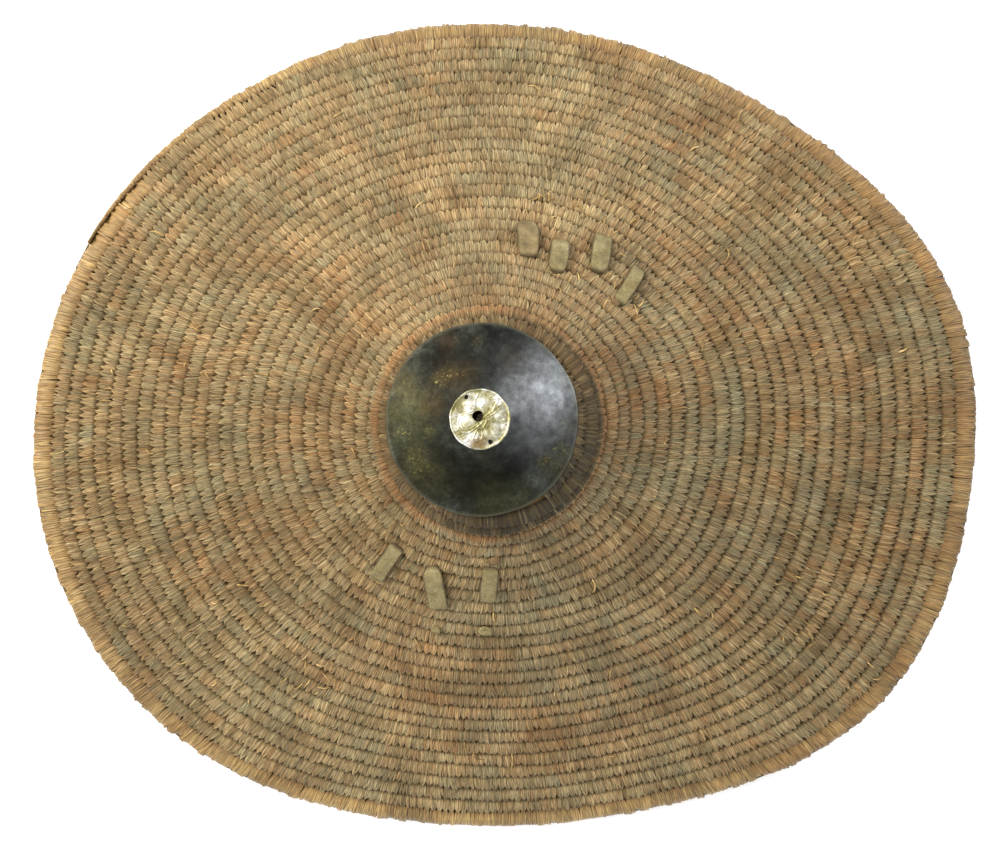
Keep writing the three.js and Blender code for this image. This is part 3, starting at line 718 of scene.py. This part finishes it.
def strike_disc():
    """Spins the blank, punches its holes right through it and strikes the picture into its face."""
    shape = bmesh.new()
    face_radius = DISC_RADIUS - DISC_EDGE
    profile = [(face_radius * i / DISC_RINGS, DISC_THICKNESS) for i in range(1, DISC_RINGS + 1)]
    profile += [(DISC_RADIUS, DISC_THICKNESS - DISC_EDGE), (DISC_RADIUS, 0.3)]
    profile += [(DISC_RADIUS - 0.3, 0), (10, 0), (0.22, 0)]
    corners = [shape.verts.new((r, 0, z)) for r, z in profile]
    for a, b in zip(corners, corners[1:]):
        shape.edges.new((a, b))
    bmesh.ops.spin(shape, geom=shape.verts[:] + shape.edges[:], axis=(0, 0, 1), cent=(0, 0, 0), angle=TURN,
                   steps=DISC_STEPS, use_merge=True, use_duplicate=False)
    bmesh.ops.holes_fill(shape, edges=[e for e in shape.edges if e.is_boundary], sides=0)
    blank = finish_mesh("blank", shape, old_silver(), smooth=False)
    disc = bpy.data.objects.new("silver_disc", blank)
    bpy.context.scene.collection.objects.link(disc)

    punches = []
    for x, y, radius in DISC_HOLES:
        tool = bmesh.new()
        bmesh.ops.create_cone(tool, cap_ends=True, segments=40, radius1=radius, radius2=radius, depth=8,
                              matrix=Matrix.Translation((x, y, 1)))
        for vertex in tool.verts:
            ragged = 1 + 0.05 * math.sin(3 * math.atan2(vertex.co.y - y, vertex.co.x - x) + x)
            vertex.co.x = x + (vertex.co.x - x) * ragged
            vertex.co.y = y + (vertex.co.y - y) * ragged
        punch = bpy.data.objects.new("punch", finish_mesh("punch", tool, blank.materials[0]))
        bpy.context.scene.collection.objects.link(punch)
        cut = disc.modifiers.new("hole", "BOOLEAN")
        cut.operation = "DIFFERENCE"
        cut.object = punch
        cut.solver = "EXACT"
        punches.append(punch)
    pierced = bpy.data.meshes.new_from_object(disc.evaluated_get(bpy.context.evaluated_depsgraph_get()))
    for spare in [disc] + punches:
        bpy.data.objects.remove(spare)

    places = np.array([v.co for v in pierced.vertices])
    x, y, z = places.T
    face = np.clip((z - DISC_THICKNESS + 0.3) / 0.3, 0, 1)
    height = struck_height(x, y)
    bent = 0.25 * np.sin(0.13 * x + 0.4) * np.cos(0.11 * y)
    edge = 1 + 0.006 * np.sin(7 * np.arctan2(y, x)) + 0.004 * np.sin(13 * np.arctan2(y, x) + 1)
    ripple = np.array([noise.noise(Vector((px, py, 0)) / 2.2) for px, py in zip(x, y)])
    struck = z + face * (height + 0.10 * ripple - FACE_SUNK) + bent
    pierced.vertices.foreach_set("co", np.stack([x * edge, y * edge, struck], axis=-1).reshape(-1))
    # Brown low down, and a faint spot of it above the middle hole
    low_stain = 0.95 * np.exp(-(((x + 1) / 7.0)**2 + ((y + 15.5) / 4.0)**2))
    high_stain = 0.3 * ripple * np.exp(-(((x + 0.5) / 6)**2 + ((y - 7) / 4)**2))
    paint(pierced, "relief", np.clip(height / 0.5 + 0.06 * ripple, 0, 1))
    paint(pierced, "stain", np.clip(low_stain + high_stain, 0, 1))
    pierced.transform(on_crown @ Matrix.Translation((*DISC_AT, BOSS_RISE + BOSS_SHEET + DISC_GAP)))
    pierced.shade_smooth()
    new_piece("silver_disc", pierced, "old_silver", "apex_disc")


strike_disc()

# ---------------------------------------------------------------------------------------------------------
# The lashings: seven thongs of dry hide, each a broad tab pulled down over three or four coils with its two
# legs passing through the wall and joined inside, under the hand strap. The tabs are stiff and domed.

THONG, LEG_SHARE, AIR = 2.2, 0.62, 0.5
STRAP_THICKNESS, STRAP_CLEARANCE = 4, 1.3
# Place in plan, width, length, lean in degrees, share of the width left at the outer and the inner end
LASHINGS = [
    (25.2, 123.4, 16.2, 34, 3, 0.45, 0.66),
    (45.7, 111.6, 14.4, 30.5, 12, 0.62, 0.60),
    (74.4, 114.2, 14.6, 33.5, 15, 0.80, 0.62),
    (93.9, 91.8, 10.8, 36, 33, 0.70, 0.86),
    (-69.3, -92.3, 11.6, 36, 33, 0.78, 0.84),
    (-36.3, -108.8, 14.6, 40, 0, 0.86, 0.50),
    (-0.8, -106.3, 12.6, 34, 3, 0.70, 0.72),
]


def wall_height(x, y):
    return float(middle_height(np.hypot(x, y), np.arctan2(y, x)))


def wall_frame(x, y, lean=0.0):
    """Where something lies on the wall: X across, Y along and Z outwards from the wall's middle, in mm."""
    slope_x = (wall_height(x + 1, y) - wall_height(x - 1, y)) / 2
    slope_y = (wall_height(x, y + 1) - wall_height(x, y - 1)) / 2
    out = Vector((-slope_x, -slope_y, 1)).normalized()
    along = Vector((math.sin(math.radians(lean)), math.cos(math.radians(lean)), 0))
    along = (along - along.dot(out) * out).normalized()
    turned = Matrix((along.cross(out), along, out)).transposed().to_4x4()
    turned.translation = Vector((MIDDLE_X + x, MIDDLE_Y + y, FOOT_Z + wall_height(x, y)))
    return Matrix.Scale(MM, 4) @ turned


def sweep(shape, stations, corners, square=1.0, loop=False):
    """Draws a rounded section through the stations. Each is a middle, a way across, a way out, and the
    section's half width and half thickness along them. A loop joins its ends, otherwise they are filled."""
    frames = []
    for middle, across, out, half_width, half_thickness in stations:
        onwards = across.cross(out)
        turned = Matrix((across * half_width, out * half_thickness, onwards)).transposed().to_4x4()
        turned.translation = middle
        frames.append(turned)
    ring = bmesh.ops.create_circle(shape, cap_ends=False, segments=corners, radius=1.0)["verts"]
    for corner in ring:
        corner.co.x = math.copysign(abs(corner.co.x) ** square, corner.co.x)
        corner.co.y = math.copysign(abs(corner.co.y) ** square, corner.co.y)
    bmesh.ops.transform(shape, matrix=frames[0], verts=ring)
    edges = list({e for corner in ring for e in corner.link_edges})
    first = edges
    for before, after in zip(frames, frames[1:]):
        drawn = bmesh.ops.extrude_edge_only(shape, edges=edges)["geom"]
        ring = [g for g in drawn if isinstance(g, bmesh.types.BMVert)]
        inside = set(ring)
        edges = [g for g in drawn if isinstance(g, bmesh.types.BMEdge) and inside.issuperset(g.verts)]
        bmesh.ops.transform(shape, matrix=after @ before.inverted(), verts=ring)
    if loop:
        bmesh.ops.bridge_loops(shape, edges=first + edges)
    else:
        bmesh.ops.edgeloop_fill(shape, edges=first)
        bmesh.ops.edgeloop_fill(shape, edges=edges)


def dry_hide(name, dark, middle, pale, stain):
    """Dried rawhide: stiff and matt, with a fine cracked grain over broad stains, and painted shade at its
    edges.
    """
    material = new_material(name)
    place = node(material, "ShaderNodeTexCoord").outputs["Object"]
    # Stains of about 10 mm, rusty ones of 17, and a grain of 1.4 mm, coarser than the real one so it shows
    stains = node(material, "ShaderNodeTexNoise", {
        "Scale": 95.0, "Detail": 6.0, "Roughness": 0.6, "Vector": place})
    rust = node(material, "ShaderNodeTexNoise", {
        "noise_dimensions": "4D", "Scale": 60.0, "Detail": 3.0, "W": 2.0, "Vector": place})
    grain = node(material, "ShaderNodeTexNoise", {
        "Scale": 700.0, "Detail": 4.0, "Roughness": 0.7, "Vector": place})
    stained, rusted, cracked = [
        node(material, "ShaderNodeValToRGB", {"Fac": read, "stops": stops})
        for read, stops in (
            (stains, ((0.28, dark), (0.50, middle), (0.74, pale))),
            (rust, ((0.52, "#000000"), (0.72, "#b0b0b0"))),
            (grain, ((0.35, "#bdb7ab"), (0.62, "#ffffff"))))]
    edge = node(material, "ShaderNodeAttribute", {"attribute_name": "edge"}).outputs["Fac"]
    # The dark brown coat on the marked edges is painted shade.
    colour = coat(material, stained, (rusted, stain), (0.7, cracked, "MULTIPLY"), (edge, "#3a2d18"))
    bump = node(material, "ShaderNodeBump", {"Strength": 0.4, "Distance": 0.0005, "Height": grain})
    return finish_material(material, {
        "Base Color": colour, "Roughness": 0.7, "Specular IOR Level": 0.3, "Normal": bump})


grey_hide = dry_hide("grey_hide", "#675c3c", "#8b7f57", "#a99c72", "#80683c")
brown_hide = dry_hide("brown_hide", "#5f5138", "#84744f", "#9d8c64", "#7a6040")


def smooth_share(value, low, high):
    share = min(max((value - low) / (high - low), 0), 1)
    return share * share * (3 - 2 * share)


def tie_lashing(number, x, y, width, length, lean, outer_end, inner_end):
    """A loop of hide: the tab on the face, bowed up and turned down at both ends, two legs through the wall
    and the back that holds the strap."""
    front = COIL_THICKNESS / 2 + AIR + THONG / 2
    back = -(COIL_THICKNESS / 2 + STRAP_CLEARANCE + STRAP_THICKNESS + 2 * AIR + THONG / 2)
    reach = length / 2 - THONG / 2
    leg = LEG_SHARE * width / 2
    across = Vector((1, 0, 0))
    stations = []

    def add(y, z, turn, half_width):
        out = Vector((0, -math.sin(math.radians(turn)), math.cos(math.radians(turn))))
        stations.append((Vector((0, y, z)), across, out, half_width, THONG / 2))

    for k in range(15):
        u = -1 + k / 7
        end = outer_end if (u > 0) == (y > 0) else inner_end
        half = width / 2 * (end + (1 - end) * (1 - abs(u) ** 3.2))
        domed = front + 1.0 + 1.0 * (1 - u * u) - 1.3 * abs(u) ** 7
        add(u * reach, domed, -55 * abs(u) ** 5 * math.copysign(1, u), half)
    down_the_leg = (
        (0.3, front - 3.2, 90), (0.3, back + 1.9, 90), (-0.6, back + 0.5, 140), (-2.2, back, 180))
    for past, z, turned in down_the_leg:
        add(reach + past, z, -turned, leg)
    for past, z, turned in reversed(down_the_leg):
        add(-reach - past, z, turned - 360, leg)
    shape = bmesh.new()
    sweep(shape, stations, 18, 0.62, loop=True)
    bmesh.ops.recalc_face_normals(shape, faces=shape.faces)
    # Painted shade where the tab turns down to the wall, at its ends and its sides
    edge = []
    for spot in (v.co for v in shape.verts):
        low = smooth_share(front + 1.7 - spot.z, 0, 1.7)
        outer = smooth_share(abs(spot.x) / width, 0.38, 0.48)
        edge.append(0.9 * max(low, outer))
    wobble(shape, 7.5, 1.2, number)
    wobble(shape, 2.4, 0.5, number + 10)
    bmesh.ops.transform(shape, matrix=wall_frame(x, y, lean), verts=shape.verts)
    mesh = finish_mesh(f"hide_lashing_{number}", shape, brown_hide if number == 1 else grey_hide)
    paint(mesh, "edge", edge)
    piece = new_piece(f"hide_lashing_{number}", mesh, "rawhide", f"lashing_{number}")
    rounder = piece.modifiers.new("rounder", "SUBSURF")
    rounder.levels = rounder.render_levels = 1


for number, sizes in enumerate(LASHINGS, 1):
    tie_lashing(number, *sizes)

# ---------------------------------------------------------------------------------------------------------
# Two knotted ends of thinner thong below the lower lashings, flattened against the face.

THONG_ENDS = [(-36.7, -139.8, 7.0, 6.5), (-3.0, -139.8, 10.4, 7.0)]   # x, y, width, length
THONG_END_THICKNESS = 4.4

for number, (x, y, width, length) in enumerate(THONG_ENDS, 1):
    shape = bmesh.new()
    bmesh.ops.create_icosphere(shape, subdivisions=4, radius=0.5)
    bmesh.ops.scale(shape, vec=(width, length, THONG_END_THICKNESS), verts=shape.verts)
    wobble(shape, 2.6, 1.1, number + 30)
    wobble(shape, 1.1, 0.35, number + 40)
    lift = COIL_THICKNESS / 2 + THONG_END_THICKNESS / 2 - 0.3
    bmesh.ops.translate(shape, vec=(0, 0, lift), verts=shape.verts)
    bmesh.ops.transform(shape, matrix=wall_frame(x, y), verts=shape.verts)
    mesh = finish_mesh(f"thong_knot_{number}", shape, grey_hide)
    new_piece(f"thong_knot_{number}", mesh, "rawhide", f"thong_end_{number}")

# ---------------------------------------------------------------------------------------------------------
# The hand strap: one piece of thick hide across the hollow, narrow where it is held, with broad ends that
# lie against the inside of the wall under the lashings. Plain, and dark from the hand.

STRAP_FROM, STRAP_TO = Vector((-34.8, -105.2)), Vector((60.2, 112.5))
STRAP_HALF_WIDTH, STRAP_END_HALF_WIDTH, STRAP_END_LENGTH = 15, 47, 32
STRAP_HOLD, STRAP_LEAVES, STRAP_SAG = 45, 86, 5


def cut_strap():
    """A flat sheet between the two groups of lashings, flared at its ends, then given its thickness."""
    middle = (STRAP_FROM + STRAP_TO) / 2
    along = (STRAP_TO - STRAP_FROM).normalized()
    across = Vector((along.y, -along.x))
    end = (STRAP_TO - STRAP_FROM).length / 2 + STRAP_END_LENGTH

    def inside_wall(x, y):
        slope_x = (wall_height(x + 1, y) - wall_height(x - 1, y)) / 2
        slope_y = (wall_height(x, y + 1) - wall_height(x, y - 1)) / 2
        steep = math.sqrt(1 + slope_x**2 + slope_y**2)
        return wall_height(x, y) - (COIL_THICKNESS / 2 + STRAP_CLEARANCE) * steep

    leaves = sum(inside_wall(*(middle + side * STRAP_LEAVES * along)) for side in (-1, 1)) / 2
    shape = bmesh.new()
    bmesh.ops.create_grid(shape, x_segments=96, y_segments=28, size=1.0)
    for vertex in shape.verts:
        s = vertex.co.x * end
        b = vertex.co.y
        flare = smooth_share(abs(s), STRAP_HOLD, STRAP_LEAVES)
        rounding = 1 - 0.25 * smooth_share(abs(s), end - 12, end)
        half = (STRAP_HALF_WIDTH + (STRAP_END_HALF_WIDTH - STRAP_HALF_WIDTH) * flare) * rounding
        half += 0.8 * noise.noise(Vector((s / 16, 5 * b, 0)))
        spot = middle + s * along + b * half * across
        sag = STRAP_SAG * (1 - flare) + 0.4 * noise.noise(Vector((s / 22, b * 2, 3)))
        height = min(inside_wall(*spot) - 0.2, leaves - sag)
        vertex.co = (MIDDLE_X + spot.x, MIDDLE_Y + spot.y, FOOT_Z + height)
    bmesh.ops.recalc_face_normals(shape, faces=shape.faces)
    if sum(f.normal.z for f in shape.faces) < 0:
        bmesh.ops.reverse_faces(shape, faces=shape.faces)
    bmesh.ops.solidify(shape, geom=shape.faces[:], thickness=STRAP_THICKNESS - 0.3)
    bmesh.ops.transform(shape, matrix=Matrix.Scale(MM, 4), verts=shape.verts)
    strap_hide = dry_hide("strap_hide", "#3d3322", "#5e4f36", "#7d6c4a", "#4a3620")
    mesh = finish_mesh("hide_hand_strap", shape, strap_hide)
    piece = new_piece("hide_hand_strap", mesh, "rawhide", "hand_strap")
    worn = piece.modifiers.new("worn_edges", "BEVEL")
    worn.width = 0.8 * MM
    worn.segments = 3
    worn.limit_method = "ANGLE"
    worn.angle_limit = math.radians(50)


cut_strap()

# ---------------------------------------------------------------------------------------------------------
# Loose strands: here and there a stitch has broken and its ends stand off the wall in small curls, thickest
# round the lashings, low on the left and at the rim on the right. Torn bits of hide lie by the lashings.

# Place in plan, how many, how far they are strewn
LOOSE_PLACES = [
    (-135, -182, 7, 9), (-118, -176, 3, 6), (36, 153, 5, 5), (61, 149, 6, 6), (85, 144, 5, 6),
    (217, -152, 6, 10), (-11, -228, 4, 6), (58, 101, 4, 6), (84, 100, 4, 7), (-68, -112, 2, 4),
    (100, 82, 3, 5), (-4, -90, 2, 4), (160, 60, 2, 8), (-205, 60, 3, 8), (-180, 30, 2, 6),
    (130, 190, 3, 8), (230, 40, 3, 9), (-240, 150, 3, 10),
]
LOOSE_COUNT, LOOSE_MARGIN = 150, 12
STRAND_STEPS, STRAND_HALF_THICKNESS = 8, 0.16
# Place in plan, width, length, lean in degrees
HIDE_BITS = [(83.8, 80.5, 6.5, 7.5, 20), (2.8, -89.5, 7, 8, 10), (56, 101.5, 5, 4, 40)]
HIDE_BIT_THICKNESS = 3.2


def loose_leaf():
    """The same palm leaf where it has split off: bleached in places, so it catches the light."""
    material = new_material("loose_palm_leaf")
    place = node(material, "ShaderNodeTexCoord").outputs["Object"]
    tints = node(material, "ShaderNodeTexNoise", {"Scale": 120.0, "Detail": 3.0, "Vector": place})
    colour = node(material, "ShaderNodeValToRGB", {
        "Fac": tints, "stops": ((0.34, "#66502b"), (0.5, "#a28248"), (0.66, "#d6b676"))})
    fibres = node(material, "ShaderNodeTexNoise", {"Scale": 1500.0, "Detail": 2.0, "Vector": place})
    bump = node(material, "ShaderNodeBump", {"Strength": 0.4, "Distance": 0.0003, "Height": fibres})
    return finish_material(material, {
        "Base Color": colour, "Roughness": 0.6, "Specular IOR Level": 0.4, "Normal": bump})


def curl_strands():
    """Small ribbons of leaf that stand off the wall and curl, at the worn places and a few anywhere."""
    shape = bmesh.new()
    spots = [(x + random.normal(0, spread), y + random.normal(0, spread))
             for x, y, count, spread in LOOSE_PLACES for _ in range(count)]
    while len(spots) < LOOSE_COUNT:
        x = random.uniform(-320, 330)
        y = random.uniform(-285, 285)
        if 80 < math.hypot(x, y) < float(rim_radius(math.atan2(y, x))) - LOOSE_MARGIN:
            spots.append((x, y))
    for x, y in spots:
        length = random.uniform(4, 13)
        bend = random.uniform(-1.6, 1.6)
        rise = random.uniform(0.9, 2.6)
        half = random.uniform(0.28, 0.7)
        heading = random.uniform(0, 360) if random.random() < 0.5 else math.degrees(math.atan2(x, y))
        stations = []
        here = Vector((0, -length / 2, 0))
        facing = math.pi / 2
        for k in range(STRAND_STEPS + 1):
            u = k / STRAND_STEPS
            lift = COIL_THICKNESS / 2 - 0.7 + rise * math.sin(math.pi * u) ** 0.8
            ahead = Vector((math.cos(facing), math.sin(facing), 0))
            stations.append((
                Vector((here.x, here.y, lift)), Vector((-ahead.y, ahead.x, 0)), Vector((0, 0, 1)),
                half * (1 - 0.75 * u**3), STRAND_HALF_THICKNESS))
            here = here + ahead * length / STRAND_STEPS
            facing += bend / STRAND_STEPS + random.normal(0, 0.08)
        before = len(shape.verts)
        sweep(shape, stations, 6)
        shape.verts.ensure_lookup_table()
        bmesh.ops.transform(shape, matrix=wall_frame(x, y, heading), verts=shape.verts[before:])
    mesh = finish_mesh("loose_strands", shape, loose_leaf())
    new_piece("loose_strands", mesh, "coiled_grass", "coiled_basket")


curl_strands()

torn = bmesh.new()
for x, y, width, length, lean in HIDE_BITS:
    bit = bmesh.ops.create_icosphere(torn, subdivisions=3, radius=0.5)["verts"]
    for vertex in bit:
        swell = 1 + 0.5 * noise.noise(vertex.co * 3 + Vector((x, y, 0)))
        flat = Vector((vertex.co.x * width, vertex.co.y * length, vertex.co.z * HIDE_BIT_THICKNESS))
        vertex.co = flat * swell
        vertex.co.z += COIL_THICKNESS / 2 + 0.4
    bmesh.ops.transform(torn, matrix=wall_frame(x, y, lean), verts=bit)
torn_hide = dry_hide("torn_hide", "#54442a", "#786040", "#937850", "#6e5230")
new_piece("torn_hide", finish_mesh("torn_hide", torn, torn_hide), "coiled_grass", "coiled_basket")

# ---------------------------------------------------------------------------------------------------------
# The floor, the light and the camera: a table of white paper, a large soft lamp up on the left, a cooler
# one on the right that the boss mirrors, and the camera two metres up looking straight down.

CAMERA_HEIGHT = 2.0
CAMERA_X, CAMERA_Y = -0.0037, -0.0012
LENS = 98.5
# The lift that keeps the paper white starts this far from the middle, past the part that the shield shades.
LIFT_FROM, LIFT_TO = 0.20, 0.25


def area_light(name, place, target, size, power, colour):
    lamp = bpy.data.lights.new(name, "AREA")
    lamp.shape = "DISK"
    lamp.size = size
    lamp.energy = power
    lamp.color = linear(colour)[:3]
    holder = bpy.data.objects.new(name, lamp)
    holder.location = place
    holder.rotation_euler = (Vector(target) - Vector(place)).to_track_quat("-Z", "Y").to_euler()
    bpy.context.scene.collection.objects.link(holder)


area_light("lamp_upper_left", (-1.2, 0.6, 1.4), (0, 0, 0.05), 1.2, 42, "#fff6e8")
area_light("lamp_right", (1.10, 0.70, 0.98), (0, 0, 0.18), 0.8, 9, "#f1f4fc")

world = bpy.data.worlds.new("studio")
world.use_nodes = True
world.node_tree.nodes["Background"].inputs["Color"].default_value = linear("#f4f6fa")
world.node_tree.nodes["Background"].inputs["Strength"].default_value = 0.9
bpy.context.scene.world = world

floor_shape = bmesh.new()
bmesh.ops.create_grid(floor_shape, x_segments=2, y_segments=2, size=4,
                      matrix=Matrix.Translation((0, 0, cad_box[0].z - 0.0005)))
floor_mesh = bpy.data.meshes.new("table")
floor_shape.to_mesh(floor_mesh)
floor_shape.free()
floor = bpy.data.objects.new("table", floor_mesh)
bpy.context.scene.collection.objects.link(floor)
paper = new_material("white_paper")
on_paper = node(paper, "ShaderNodeTexCoord").outputs["Object"]
tooth = node(paper, "ShaderNodeTexNoise", {"Scale": 400.0, "Detail": 2.0, "Vector": on_paper})
white = node(paper, "ShaderNodeValToRGB", {"Fac": tooth, "stops": ((0.3, "#fbfbfb"), (0.7, "#ffffff"))})
away = node(paper, "ShaderNodeVectorMath", {"operation": "LENGTH", 0: on_paper}).outputs["Value"]
lift = node(paper, "ShaderNodeMapRange", {
    "From Min": LIFT_FROM, "From Max": LIFT_TO, "To Min": 0.0, "To Max": 0.4, "Value": away})
finish_material(paper, {
    "Base Color": white, "Roughness": 0.9, "Specular IOR Level": 0.1,
    "Emission Color": white, "Emission Strength": lift})
floor_mesh.materials.append(paper)

lens = bpy.data.cameras.new("camera")
lens.lens = LENS
lens.sensor_width = 36
lens.clip_end = 50
camera = bpy.data.objects.new("camera", lens)
camera.location = (CAMERA_X, CAMERA_Y, CAMERA_HEIGHT)
bpy.context.scene.collection.objects.link(camera)
bpy.context.scene.camera = camera
bpy.context.scene.view_settings.view_transform = "Standard"
